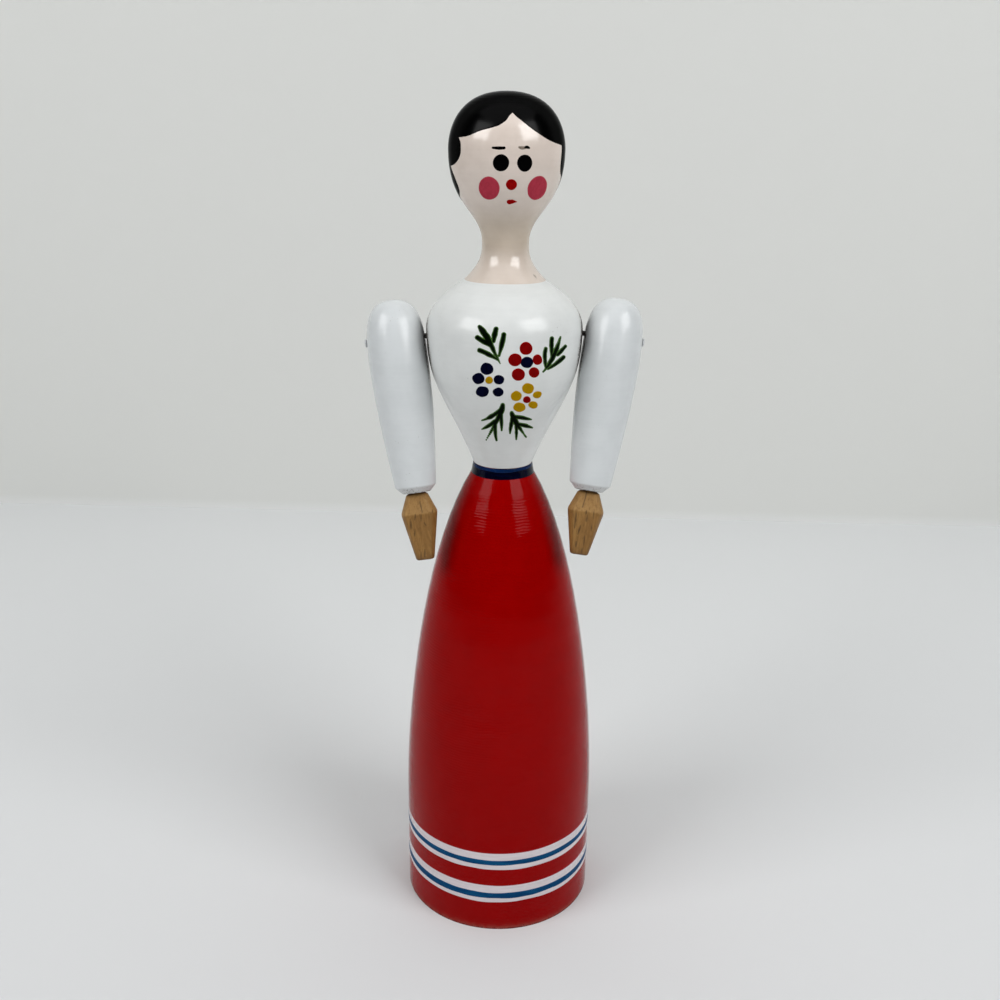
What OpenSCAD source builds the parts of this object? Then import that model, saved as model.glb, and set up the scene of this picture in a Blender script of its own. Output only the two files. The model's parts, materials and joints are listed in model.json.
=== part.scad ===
// Turned wooden doll with two arms that swing on shoulder pins.
// The origin is under the middle of the foot, +Z is up and the face looks along -Y.
// The doll's own left arm is on +X.

/* [Skirt] */
// Radius of the skirt at its foot
skirt_r = 27.5; // [25:0.5:30]
// Height of the skirt up to the waistband
skirt_h = 131.4; // [125:0.2:145]
// Height of the straight foot of the skirt
foot_h = 33; // [25:1:40]
// Angle from upright at which the skirt meets the waistband
skirt_angle = 30.6; // [24:0.2:36]

/* [Waist] */
// Radius of the crease between torso and waistband
waist_r = 8.15; // [7.6:0.05:8.6]
// Radius of the waistband's lower edge
band_r = 8.65; // [8.2:0.05:9.4]
// Height of the waistband
band_h = 2.7; // [2:0.1:4]

/* [Torso] */
// Radius of the torso at its widest
torso_r = 20.85; // [19:0.05:22]
// Height from the waist crease to the widest place
chest_h = 36.4; // [32:0.2:40]
// Angle from upright at which the torso leaves the waist
chest_angle = 21.9; // [16:0.1:28]
// Height from the widest place to the neckline
shoulder_h = 12.6; // [10:0.2:15]
// Radius of the neckline, where the head piece sits down
neckline_r = 11.35; // [10:0.05:12.5]
// Angle from upright of the surface at the neckline
neckline_angle = 48; // [40:1:55]

/* [Head] */
// Radius of the neck at its narrowest
neck_r = 6.2; // [5.4:0.05:7.2]
// Height from the neckline to the narrowest place
neck_h = 9.9; // [8:0.1:12]
// Radius of the head
head_r = 14.87; // [13:0.01:16.5]
// Height from the narrowest place to the widest place of the head
face_h = 23; // [20:0.2:26]
// Height of the crown above the widest place
crown_h = 14; // [12:0.2:16]

/* [Joinery of the body] */
// Radius of the torso's spigot in the skirt
waist_spigot_r = 5; // [4:0.1:6]
// Length of the torso's spigot
waist_spigot_h = 16; // [10:0.5:22]
// Radius of the head's spigot in the torso
neck_spigot_r = 4.5; // [3.5:0.1:5.5]
// Length of the head's spigot
neck_spigot_h = 11; // [7:0.5:12]
// Radial room for glue round every spigot
glue_gap = 0.04; // [0.02:0.01:0.1]
// Room for glue past the end of every spigot
end_room = 0.6; // [0.3:0.1:1.5]
// Bevel on the end of every spigot
spigot_bevel = 0.5; // [0.2:0.1:0.8]

/* [Sleeve] */
// Length of the sleeve
sleeve_h = 51.6; // [49:0.1:57]
// Radius of the sleeve at its widest
sleeve_r = 8; // [7.7:0.05:8.8]
// Height of the sleeve's domed top above its widest place
dome_h = 17.3; // [14:0.1:24]
// Radius of the sleeve above the cuff's bevel
cuff_r = 5.55; // [4.8:0.05:6.4]
// Bevel round the cuff's end
cuff_bevel = 1.7; // [1:0.1:2.2]
// Angle from the arm's axis at which the sleeve leaves the cuff
cuff_angle = 6.7; // [3:0.1:9]
// Distance from the arm's axis to the flat that faces the torso
sleeve_flat = 7.4; // [7:0.05:7.7]
// Running gap between that flat and the torso
arm_gap = 0.4; // [0.3:0.05:0.8]
// Angle that both arms are swung forward about their pins
arm_swing = 13; // [0:1:30]

/* [Hand] */
// Length of the left hand
left_hand_h = 17.2; // [16:0.2:21]
// Length of the right hand
right_hand_h = 18; // [16:0.2:21]
// Width of the hand at its widest
hand_w = 9.9; // [8:0.1:11]
// Drop from the top of the hand to its widest place
hand_drop = 5.2; // [4:0.1:8]
// Width of the hand at its top
hand_top_w = 5.7; // [4.6:0.1:6.4]
// Width of the hand at its tip
hand_tip_w = 4.9; // [4:0.1:6.4]
// Thickness of the hand at its widest place
hand_t = 6.8; // [5:0.1:8]
// Thickness of the hand at its top
hand_top_t = 4.6; // [4.5:0.1:5.2]
// Thickness of the hand at its tip
hand_tip_t = 3.4; // [2.5:0.1:4.4]
// Radius of the hand's peg in the cuff
peg_r = 2.1; // [1.6:0.05:2.2]
// Length of the hand's peg inside the cuff
peg_h = 8; // [5:0.5:12]
// Gap between the cuff's end and the top of the hand
hand_reveal = 0.4; // [0:0.1:1]
// Clearance between the hand's tip and the skirt
hand_gap = 0.32; // [0.3:0.02:2]

/* [Shoulder pins] */
// Radius of the pin
pin_r = 0.7; // [0.5:0.05:1]
// Radial running clearance of the pin in the sleeve
pin_gap = 0.05; // [0.02:0.01:0.1]
// Height above the waist crease at which the left pin enters the torso
left_pin_h = 35.5; // [33:0.1:37]
// Height above the waist crease at which the right pin enters the torso
right_pin_h = 34.3; // [33:0.1:37]
// Depth of the pin below the top of the sleeve, along the arm
pin_drop = 10.5; // [8:0.1:13]
// Depth of the pin in the torso
pin_seat = 9; // [6:0.5:10]
// Length of the pin's point
pin_point = 1.6; // [1:0.1:2.5]
// Radius of the pin's head
pin_head_r = 1.1; // [1:0.05:1.4]
// Thickness of the pin's head
pin_head_h = 0.5; // [0.3:0.05:0.8]
// Play between the pin's head and the sleeve
head_play = 0.15; // [0.1:0.05:0.4]

/* [Hidden] */
$fn = 96;

// Straight pieces that each curve is turned in
curve_steps = 18;
// How far a cutter runs past the surface that it opens
overrun = 1;
// Steps of the search for the arm's angle
angle_steps = 8;

// Reach of each curve's two handles, as shares of the curve's height
skirt_shares = [0.25, 0.277];
chest_shares = [0.518, 0.418];
shoulder_shares = [0.616, 0.08];
neck_shares = [0.707, 0.26];
face_shares = [0.335, 0.615];
crown_shares = [0.32, 0.85];
sleeve_shares = [0.305, 0.239];
dome_shares = [0.657, 0.894];
knuckle_shares = [0.22, 0.12];

waist_z = skirt_h + band_h;
chest_z = waist_z + chest_h;
neckline_z = chest_z + shoulder_h;
neck_z = neckline_z + neck_h;
head_z = neck_z + face_h;
top_z = head_z + crown_h;
sleeve_full_h = sleeve_h - dome_h;
pin_up = sleeve_h - pin_drop;

// Point at share t along the curve from a to d with handles b and c
function bezier(a, b, c, d, t) =
    pow(1 - t, 3) * a + 3 * pow(1 - t, 2) * t * b + 3 * (1 - t) * t * t * c + pow(t, 3) * d;
// Points of that curve after its first
function curve(a, b, c, d) = [for (i = [1:curve_steps]) bezier(a, b, c, d, i / curve_steps)];
// Step of a length in [radius, height], leaning outwards from upright
function leaning(angle, length) = length * [sin(angle), cos(angle)];
function upright(length) = [0, length];
function outward(length) = [length, 0];

skirt_side = concat(
    [[skirt_r, 0], [skirt_r, foot_h]],
    curve(
        [skirt_r, foot_h],
        [skirt_r, foot_h] + upright(skirt_shares[0] * (skirt_h - foot_h)),
        [band_r, skirt_h] - leaning(-skirt_angle, skirt_shares[1] * (skirt_h - foot_h)),
        [band_r, skirt_h]
    )
);

torso_side = concat(
    [[waist_r, waist_z]],
    curve(
        [waist_r, waist_z],
        [waist_r, waist_z] + leaning(chest_angle, chest_shares[0] * chest_h),
        [torso_r, chest_z] - upright(chest_shares[1] * chest_h),
        [torso_r, chest_z]
    ),
    curve(
        [torso_r, chest_z],
        [torso_r, chest_z] + upright(shoulder_shares[0] * shoulder_h),
        [neckline_r, neckline_z] - leaning(-neckline_angle, shoulder_shares[1] * shoulder_h),
        [neckline_r, neckline_z]
    )
);

head_side = concat(
    [[neckline_r, neckline_z]],
    curve(
        [neckline_r, neckline_z],
        [neckline_r, neckline_z] + leaning(-neckline_angle, neck_shares[0] * neck_h),
        [neck_r, neck_z] - upright(neck_shares[1] * neck_h),
        [neck_r, neck_z]
    ),
    curve(
        [neck_r, neck_z],
        [neck_r, neck_z] + upright(face_shares[0] * face_h),
        [head_r, head_z] - upright(face_shares[1] * face_h),
        [head_r, head_z]
    ),
    curve(
        [head_r, head_z],
        [head_r, head_z] + upright(crown_shares[0] * crown_h),
        [0, top_z] + outward(crown_shares[1] * head_r),
        [0, top_z]
    )
);

// Outline of the sleeve above the middle of the cuff's end
sleeve_side = concat(
    [[0, 0], [cuff_r - cuff_bevel, 0], [cuff_r, cuff_bevel]],
    curve(
        [cuff_r, cuff_bevel],
        [cuff_r, cuff_bevel] + leaning(cuff_angle, sleeve_shares[0] * (sleeve_full_h - cuff_bevel)),
        [sleeve_r, sleeve_full_h] - upright(sleeve_shares[1] * (sleeve_full_h - cuff_bevel)),
        [sleeve_r, sleeve_full_h]
    ),
    curve(
        [sleeve_r, sleeve_full_h],
        [sleeve_r, sleeve_full_h] + upright(dome_shares[0] * (sleeve_h - sleeve_full_h)),
        [0, sleeve_h] + outward(dome_shares[1] * sleeve_r),
        [0, sleeve_h]
    )
);

// Radius of a turned outline at a height
function radius_at(side, z) = lookup(z, [for (p = side) [p[1], p[0]]]);

// Each arm swings in its own frame, leaned so that both hands clear the skirt when they
// hang straight down, where they come nearest to it.
// In that frame x is the distance out along the pin and z the height along the arm.
function lean_x(p, angle) = p[0] * cos(angle) + p[1] * sin(angle);
function lean_z(p, angle) = p[1] * cos(angle) - p[0] * sin(angle);
// Farthest that the torso stands out in the leaned frame
function torso_reach(angle) = max([for (p = torso_side) lean_x(p, -angle)]);
function arm_x_at(angle) = torso_reach(angle) + arm_gap + sleeve_flat;
function pin_z_at(angle, pin_h) = lean_z([torso_r, waist_z + pin_h], -angle);
// Inner corner of a hand's tip in the leaned frame
function tip_at(angle, pin_h, hand_h) =
    [arm_x_at(angle) - hand_tip_w / 2, pin_z_at(angle, pin_h) - pin_up - hand_reveal - hand_h];
// How much more than the wanted clearance a hand's tip has
function tip_room(tip, angle) =
    lean_x(tip, angle) - radius_at(skirt_side, lean_z(tip, angle)) - hand_gap;
function least_room(angle) = min(
    tip_room(tip_at(angle, left_pin_h, left_hand_h), angle),
    tip_room(tip_at(angle, right_pin_h, right_hand_h), angle)
);
function settled(angle, steps) =
    steps == 0 ? angle : settled(angle + asin(least_room(angle) / sleeve_h), steps - 1);

arm_angle = settled(0, angle_steps);
arm_x = arm_x_at(arm_angle);
pin_start_x = torso_reach(arm_angle) - pin_seat;
pin_head_x = arm_x + radius_at(sleeve_side, pin_up) + head_play;

echo(doll_h = top_z, arm_angle = arm_angle, pin_axis = [cos(arm_angle), 0, -sin(arm_angle)]);
for (pin_h = [left_pin_h, right_pin_h])
    let (place = [arm_x, pin_z_at(arm_angle, pin_h)])
    echo(pin_place = [lean_x(place, arm_angle), 0, lean_z(place, arm_angle)]);

module turned(side) {
    rotate_extrude() polygon(side);
}

// Round spigot or peg that points down, with its end bevelled
module spigot(r, h) {
    turned([[0, -h], [r - spigot_bevel, -h], [r, spigot_bevel - h], [r, 0], [0, 0]]);
}

// Cutter for the socket of such a spigot, open at the top
module socket(r, h) {
    translate([0, 0, -h - end_room])
        cylinder(r = r + glue_gap, h = h + end_room + overrun);
}

// Children drawn in the leaned frame of the left arm
module in_arm_frame() {
    rotate([0, arm_angle, 0]) children();
}

// Children drawn round the axis of the swung arm, above the cuff's end
module on_arm(pin_h) {
    in_arm_frame() translate([arm_x, 0, pin_z_at(arm_angle, pin_h)]) rotate([-arm_swing, 0, 0])
        translate([0, 0, -pin_up]) children();
}

// Children drawn along the pin's axis, from a distance out
module on_pin(pin_h, from_x) {
    in_arm_frame() translate([from_x, 0, pin_z_at(arm_angle, pin_h)]) rotate([0, 90, 0]) children();
}

module to_right() {
    mirror([1, 0, 0]) children();
}

module skirt() {
    color("firebrick") difference() {
        turned(concat([[0, 0]], skirt_side, [[waist_r, waist_z], [0, waist_z]]));
        translate([0, 0, waist_z]) socket(waist_spigot_r, waist_spigot_h);
    }
}

module torso() {
    color("whitesmoke") difference() {
        union() {
            turned(concat([[0, waist_z]], torso_side, [[0, neckline_z]]));
            translate([0, 0, waist_z]) spigot(waist_spigot_r, waist_spigot_h);
        }
        translate([0, 0, neckline_z]) socket(neck_spigot_r, neck_spigot_h);
        torso_pin_hole(left_pin_h);
        to_right() torso_pin_hole(right_pin_h);
    }
}

module torso_pin_hole(pin_h) {
    on_pin(pin_h, pin_start_x - end_room)
        cylinder(r = pin_r + glue_gap, h = pin_seat + end_room + overrun);
}

module head() {
    color("wheat") union() {
        turned(concat([[0, neckline_z]], head_side));
        translate([0, 0, neckline_z]) spigot(neck_spigot_r, neck_spigot_h);
    }
}

// Turned sleeve, flattened where it faces the torso, bored for the pin and the hand's peg
module sleeve(pin_h) {
    difference() {
        on_arm(pin_h) turned(sleeve_side);
        on_arm(pin_h) translate([-sleeve_flat - sleeve_r, -sleeve_r - overrun, -overrun])
            cube([sleeve_r, 2 * (sleeve_r + overrun), sleeve_h + 2 * overrun]);
        on_arm(pin_h) mirror([0, 0, 1]) socket(peg_r, peg_h);
        on_pin(pin_h, arm_x - sleeve_r - overrun)
            cylinder(r = pin_r + pin_gap, h = 2 * (sleeve_r + overrun));
    }
}

// Outline of the hand as turned, under its top, with the widest place eased
function hand_side(hand_h) =
    let (
        top = [hand_top_w / 2, 0],
        wide = [hand_w / 2, -hand_drop],
        tip = [hand_tip_w / 2, -hand_h],
        above = wide + knuckle_shares[0] * (top - wide),
        below = wide + knuckle_shares[1] * (tip - wide)
    )
    concat([[0, -hand_h], tip, below], curve(below, wide, wide, above), [top, [0, 0]]);

// Turned hand with a peg, flattened in front and behind to a ridge at its widest place
module hand(pin_h, hand_h) {
    on_arm(pin_h) translate([0, 0, -hand_reveal]) {
        intersection() {
            turned(hand_side(hand_h));
            rotate([90, 0, 90]) linear_extrude(hand_w + overrun, center = true)
                polygon([
                    [-hand_tip_t / 2, -hand_h], [hand_tip_t / 2, -hand_h], [hand_t / 2, -hand_drop],
                    [hand_top_t / 2, 0], [-hand_top_t / 2, 0], [-hand_t / 2, -hand_drop]
                ]);
        }
        mirror([0, 0, 1]) spigot(peg_r, peg_h + hand_reveal);
    }
}

// Nail with its point in the torso and a domed head outside the sleeve
module pin(pin_h) {
    on_pin(pin_h, pin_start_x) turned(concat(
        [[0, 0], [pin_r, pin_point], [pin_r, pin_head_x - pin_start_x]],
        [[pin_head_r, pin_head_x - pin_start_x]],
        [for (i = [0:curve_steps]) let (a = 90 * i / curve_steps) [
            pin_head_r * cos(a),
            pin_head_x - pin_start_x + pin_head_h * (1 + sin(a)) / 2
        ]]
    ));
}

module left_arm() {
    color("white") sleeve(left_pin_h);
}

module right_arm() {
    color("white") to_right() sleeve(right_pin_h);
}

module left_hand() {
    color("peru") hand(left_pin_h, left_hand_h);
}

module right_hand() {
    color("peru") to_right() hand(right_pin_h, right_hand_h);
}

module left_pin() {
    color("dimgray") pin(left_pin_h);
}

module right_pin() {
    color("dimgray") to_right() pin(right_pin_h);
}

skirt();
torso();
head();
left_arm();
right_arm();
left_hand();
right_hand();
left_pin();
right_pin();
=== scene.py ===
"""A turned and painted peg doll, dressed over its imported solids.

Sizes are in millimetres unless a name says otherwise.
"""

import json
import math

import bpy
import numpy as np
from mathutils import Matrix, Vector
from mathutils.bvhtree import BVHTree
from mathutils.kdtree import KDTree


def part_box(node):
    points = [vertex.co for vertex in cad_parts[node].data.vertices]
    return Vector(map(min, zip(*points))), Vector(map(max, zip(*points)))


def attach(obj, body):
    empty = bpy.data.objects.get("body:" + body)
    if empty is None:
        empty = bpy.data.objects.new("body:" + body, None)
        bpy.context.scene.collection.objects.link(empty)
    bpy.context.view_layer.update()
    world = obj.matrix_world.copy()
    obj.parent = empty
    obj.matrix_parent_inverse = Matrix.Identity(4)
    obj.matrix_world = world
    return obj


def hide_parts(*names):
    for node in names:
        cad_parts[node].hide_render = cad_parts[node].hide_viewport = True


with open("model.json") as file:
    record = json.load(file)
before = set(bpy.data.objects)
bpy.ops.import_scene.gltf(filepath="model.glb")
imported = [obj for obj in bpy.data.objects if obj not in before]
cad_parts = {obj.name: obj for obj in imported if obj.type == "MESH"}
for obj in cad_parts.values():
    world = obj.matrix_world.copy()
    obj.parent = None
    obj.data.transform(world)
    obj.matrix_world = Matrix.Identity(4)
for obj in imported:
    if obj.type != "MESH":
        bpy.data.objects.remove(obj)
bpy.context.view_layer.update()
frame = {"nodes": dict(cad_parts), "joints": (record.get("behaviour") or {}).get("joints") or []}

MM = 0.001

# The camera, fitted to the photograph
FRAME_PX = 1000
FOCAL_PX = 1124.2
SENSOR = 36.0
CAMERA_PLACE = np.array([-0.62, -297.4, 222.95])
LOOKING_DOWN = math.radians(18.66)
CAMERA_ROLL = math.radians(0.697)
CLIP_M = 0.01, 20


def camera_axes():
    """The directions across, up and ahead of the camera."""
    level_up = np.array([0, math.sin(LOOKING_DOWN), math.cos(LOOKING_DOWN)])
    ahead = np.array([0, math.cos(LOOKING_DOWN), -math.sin(LOOKING_DOWN)])
    sideways = np.array([1.0, 0, 0])
    across = math.cos(CAMERA_ROLL) * sideways + math.sin(CAMERA_ROLL) * level_up
    up = math.cos(CAMERA_ROLL) * level_up - math.sin(CAMERA_ROLL) * sideways
    return across, up, ahead


ACROSS, UP, AHEAD = camera_axes()


def pixels_of(points):
    """Where points in space come in the photograph, and the size of a pixel there."""
    d = points - CAMERA_PLACE
    depth = d @ AHEAD
    x = FRAME_PX / 2 + FOCAL_PX * (d @ ACROSS) / depth
    y = FRAME_PX / 2 - FOCAL_PX * (d @ UP) / depth
    return np.stack([x, y], 1), depth / FOCAL_PX


def pixel_ray(x, y):
    way = AHEAD + (x - FRAME_PX / 2) / FOCAL_PX * ACROSS + (FRAME_PX / 2 - y) / FOCAL_PX * UP
    return way / np.linalg.norm(way)


def make_camera():
    data = bpy.data.cameras.new("camera")
    data.sensor_fit = "HORIZONTAL"
    data.sensor_width = SENSOR
    data.lens = SENSOR * FOCAL_PX / FRAME_PX
    data.clip_start, data.clip_end = CLIP_M
    camera = bpy.data.objects.new("camera", data)
    camera.matrix_world = Matrix([
        [ACROSS[i], UP[i], -AHEAD[i], CAMERA_PLACE[i] * MM] for i in range(3)
    ] + [[0, 0, 0, 1]])
    bpy.context.scene.collection.objects.link(camera)
    bpy.context.scene.camera = camera


# Axes of the turnings
class Axis:
    """The line a piece is turned about, with the directions out, along its third side and up."""

    def __init__(self, place, out, up):
        self.place = np.array(place, float)
        self.out = np.array(out, float) / np.linalg.norm(out)
        self.up = np.array(up, float) / np.linalg.norm(up)
        self.third = np.cross(self.up, self.out)

    def own(self, points):
        d = points - self.place
        return np.stack([d @ self.out, d @ self.third, d @ self.up], 1)

    def world(self, own):
        return self.place + own[:, :1] * self.out + own[:, 1:2] * self.third + own[:, 2:3] * self.up


ARM_SWING = math.radians(13)


def arm_axis(joint_name):
    """The arm's own axis: it crosses the shoulder pin at the joint's place and is swung forward."""
    joint = next(j for j in frame["joints"] if j["name"] == joint_name)
    place = np.array(joint["pos_m"]) / MM
    out = np.array(joint["axis"], float)
    out = out * math.copysign(1, out[0] * place[0])
    straight_up = np.array([-out[2], 0, out[0]]) * math.copysign(1, out[0])
    up = math.cos(ARM_SWING) * straight_up + math.sin(ARM_SWING) * np.array([0, 1, 0])
    return Axis(place, out, up)


TRUNK_AXIS = Axis([0, 0, 0], [1, 0, 0], [0, 0, 1])

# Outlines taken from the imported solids
CORNER = math.radians(17)
LONG_LEG = 3.2
SAME_LEVEL = 0.012
RING_VERTICES = 8
RING_TESTS = 7
RIM_BAND = 0.02
POLE_RADIUS = 0.05
POLE_CUT = 0.02
OFF_SURFACE = 0.05
FILLET_STEPS = 7


def node_mesh(node):
    mesh = frame["nodes"][node].data
    co = np.empty(3 * len(mesh.vertices))
    mesh.vertices.foreach_get("co", co)
    points = co.reshape(-1, 3) / MM
    tree = BVHTree.FromPolygons(points.tolist(), [list(p.vertices) for p in mesh.polygons])
    return points, tree


def faces_out(tree, point, way):
    start = Vector(point + OFF_SURFACE * way)
    return tree.ray_cast(start, Vector(way))[0] is None


def turned_rings(node, axis, lowest=-1e9, highest=1e9):
    """Height and radius of each outer ring of a turned node, from the bottom up."""
    points, tree = node_mesh(node)
    own = axis.own(points)
    radius = np.hypot(own[:, 0], own[:, 1])
    order = np.argsort(own[:, 2])
    levels = np.split(order, np.nonzero(np.diff(own[order, 2]) > SAME_LEVEL)[0] + 1)
    rings = []
    for level in levels:
        height = own[level, 2].mean()
        if not lowest - SAME_LEVEL <= height <= highest + SAME_LEVEL:
            continue
        widest = radius[level].max()
        at_rim = level[radius[level] > widest - RIM_BAND]
        turns = np.unique(np.round(np.arctan2(own[at_rim, 1], own[at_rim, 0]), 2))
        if widest < POLE_RADIUS:
            shown = any(faces_out(tree, points[at_rim[0]], s * axis.up) for s in (-1, 1))
        else:
            shown = len(turns) >= RING_VERTICES and any(
                faces_out(tree, points[i], (points[i] - axis.place - own[i, 2] * axis.up) / radius[i])
                for i in at_rim[:: max(1, len(at_rim) // RING_TESTS)]
            )
        if shown:
            rings.append((height, widest if widest >= POLE_RADIUS else 0.0))
    return np.array(rings)


def natural_spline(points, step):
    """A smooth curve through the points, sampled about every step."""
    chord = np.hypot(*np.diff(points, axis=0).T)
    t = np.concatenate([[0], np.cumsum(chord)])
    n = len(t)
    matrix = np.eye(n)
    right = np.zeros((n, 2))
    for i in range(1, n - 1):
        a, b = chord[i - 1], chord[i]
        matrix[i, i - 1:i + 2] = a, 2 * (a + b), b
        right[i] = 6 * ((points[i + 1] - points[i]) / b - (points[i] - points[i - 1]) / a)
    bend = np.linalg.solve(matrix, right)
    s = np.linspace(0, t[-1], max(2, math.ceil(t[-1] / step)) + 1)
    i = np.clip(np.searchsorted(t, s, side="right") - 1, 0, n - 2)
    h = chord[i][:, None]
    u = (s - t[i])[:, None]
    v = h - u
    return (
        bend[i] * v**3 / (6 * h) + bend[i + 1] * u**3 / (6 * h)
        + (points[i] / h - bend[i] * h / 6) * v + (points[i + 1] / h - bend[i + 1] * h / 6) * u
    )


def smooth_side(rings, step, fillet):
    """The outline as a fine smooth line, with its real corners eased by a short fillet."""
    legs = np.diff(rings, axis=0)
    length = np.hypot(*legs.T)
    heading = np.arctan2(legs[:, 1], legs[:, 0])
    turn = np.abs((np.diff(heading) + math.pi) % (2 * math.pi) - math.pi)
    ratio = np.maximum(length[1:] / length[:-1], length[:-1] / length[1:])
    breaks = [0] + [i + 1 for i in range(len(turn)) if turn[i] > CORNER or ratio[i] > LONG_LEG]
    breaks.append(len(rings) - 1)
    corners = [rings[i + 1] for i in range(len(turn)) if turn[i] > CORNER]
    line = [rings[:1]]
    for a, b in zip(breaks[:-1], breaks[1:]):
        part = rings[a:b + 1]
        over_top = b == len(rings) - 1 and part[-1, 1] == 0 and len(part) > 3
        if over_top:
            beyond = part[-4:-1][::-1] * [1, -1]
            part = np.concatenate([part, beyond])
        fine = natural_spline(part, step) if len(part) > 2 else np.linspace(
            part[0], part[-1], max(2, math.ceil(np.hypot(*(part[-1] - part[0])) / step)) + 1
        )
        if over_top:
            fine = np.concatenate([fine[fine[:, 1] > POLE_CUT], rings[-1:]])
        line.append(fine[1:])
    line = np.concatenate(line)
    for corner in corners:
        away = np.hypot(*(line - corner).T)
        near = np.nonzero(away < fillet)[0]
        first, last = near[0] - 1, near[-1] + 1
        if first < 0 or last >= len(line):
            continue
        start = corner + (line[first] - corner) * fillet / away[first]
        end = corner + (line[last] - corner) * fillet / away[last]
        t = np.linspace(0, 1, FILLET_STEPS)[:, None]
        eased = start * (1 - t)**2 + corner * 2 * t * (1 - t) + end * t**2
        line = np.concatenate([line[:first + 1], eased, line[last:]])
    return line


# How far along a pixel's ray its place on a turning is looked for
RAY_REACH = 200, 420
RAY_STEPS = 2201
FAR = 1e3


class Turning:
    """The side of a turned piece: a place on it is a turn from the front and a run up its outline."""

    def __init__(self, side, axis=TRUNK_AXIS, film_room=0.0):
        self.axis = axis
        self.z, self.r = side.T
        step = np.hypot(np.diff(self.z), np.diff(self.r))
        self.run = np.concatenate([[0], np.cumsum(step)])
        along = np.gradient(side, self.run, axis=0)
        self.out_part, self.up_part = along[:, 0], -along[:, 1]
        size = np.hypot(self.out_part, self.up_part)
        self.r = np.maximum(self.r - film_room * self.out_part / size, 0)
        self.z = self.z - film_room * self.up_part / size

    def at(self, turn, run, lift=0.0):
        """World points at turns in degrees and runs, lifted off the surface."""
        a = np.radians(turn)
        out_part = np.interp(run, self.run, self.out_part)
        up_part = np.interp(run, self.run, self.up_part)
        size = np.hypot(out_part, up_part)
        r = np.interp(run, self.run, self.r) + lift * out_part / size
        z = np.interp(run, self.run, self.z) + lift * up_part / size
        return self.axis.world(np.stack([r * np.sin(a), -r * np.cos(a), z], 1))

    def run_at(self, z):
        return np.interp(z, self.z, self.run)

    def under(self, x, y):
        """The turn and run that a pixel of the photograph shows, or the nearest at the edge."""
        way = pixel_ray(x, y)
        t = np.linspace(*RAY_REACH, RAY_STEPS)
        p = CAMERA_PLACE + t[:, None] * way
        above = np.hypot(p[:, 0], p[:, 1]) - np.interp(p[:, 2], self.z, self.r)
        above[(p[:, 2] < self.z[0]) | (p[:, 2] > self.z[-1])] = FAR
        inside = np.nonzero(above < 0)[0]
        if len(inside):
            i = inside[0]
            share = above[i - 1] / (above[i - 1] - above[i])
            q = p[i - 1] + share * (p[i] - p[i - 1])
        else:
            q = p[np.argmin(above)]
        return math.degrees(math.atan2(q[0], -q[1])), float(self.run_at(q[2]))


# Mesh makers
SHARP_FROM = 32
NEVER_SHARP = 180


def make_piece(name, points, faces, body, finish, sharp=SHARP_FROM, **values):
    """A mesh piece that rides a body. Points are world millimetres."""
    mesh = bpy.data.meshes.new(name)
    mesh.from_pydata((points * MM).tolist(), [], faces)
    for key, value in values.items():
        mesh.attributes.new(key, "FLOAT", "POINT").data.foreach_set("value", np.asarray(value, np.float32))
    mesh.materials.append(finish)
    mesh.shade_smooth()
    mesh.set_sharp_from_angle(angle=math.radians(sharp))
    piece = bpy.data.objects.new(name, mesh)
    bpy.context.scene.collection.objects.link(piece)
    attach(piece, body)
    return piece


def rows_of_faces(rows, columns):
    """Quads of a closed tube of rows, outward when rows go up and columns go round to the left."""
    i = np.arange(rows - 1)[:, None] * columns
    j = np.arange(columns)[None]
    k = (j + 1) % columns
    return np.stack([i + j, i + k, i + columns + k, i + columns + j], 2).reshape(-1, 4).tolist()


def closed_tube(own, columns):
    """Adds both ends to a tube of rows given in its own axes."""
    rows = len(own) // columns
    ends = [own[:columns].mean(0), own[-columns:].mean(0)]
    faces = rows_of_faces(rows, columns)
    low, high = len(own), len(own) + 1
    last = (rows - 1) * columns
    for j in range(columns):
        k = (j + 1) % columns
        faces.append([low, k, j])
        faces.append([high, last + j, last + k])
    return np.concatenate([own, ends]), faces


def turned_piece(name, node, turning, columns, body, finish, *, marks, shape=None):
    """The fine turned piece that stands for a plain CAD turning."""
    pole = turning.r[-1] < 1e-6
    z, r = (turning.z[:-1], turning.r[:-1]) if pole else (turning.z, turning.r)
    a = np.linspace(0, 2 * math.pi, columns, endpoint=False)
    own = np.stack([
        np.outer(r, np.sin(a)).ravel(),
        -np.outer(r, np.cos(a)).ravel(),
        np.repeat(z, columns),
    ], 1)
    run = np.repeat(turning.run[:len(z)], columns)
    if shape:
        own = shape(own)
    own, faces = closed_tube(own, columns)
    if pole:
        own[-1] = 0, 0, turning.z[-1]
    run = np.concatenate([run, [0, turning.run[-1]]])
    values = {"run": run}
    if marks:
        values.update(marks(own))
    piece = make_piece(name, turning.axis.world(own), faces, body, finish, **values)
    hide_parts(node)
    return piece


# Coats of paint
TREMBLE_WAVES = 7
TREMBLE_RANGE = 2.6
TREMBLE_SPREAD = 0.6, 1.7
HAND_WAVE = 2.2
NEARLY_WHOLE_TURN = 359.9
WIDTH_TESTS = 40
FILM_SKIRT = 1.5
DEEP_INSIDE = 5
BOX_TESTS = 5
STROKE_STEPS = 28
EDGE_ROOM_PX = 2


def tremble(points, size, wave, seed):
    """A hand's small smooth wavering over the surface."""
    dice = np.random.default_rng(seed)
    total = np.zeros(len(points))
    for _ in range(TREMBLE_WAVES):
        way = dice.normal(size=3)
        way *= 2 * math.pi / (wave * dice.uniform(*TREMBLE_SPREAD) * np.linalg.norm(way))
        total += np.sin(points @ way + dice.uniform(0, 2 * math.pi))
    return size * total / TREMBLE_RANGE


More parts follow.
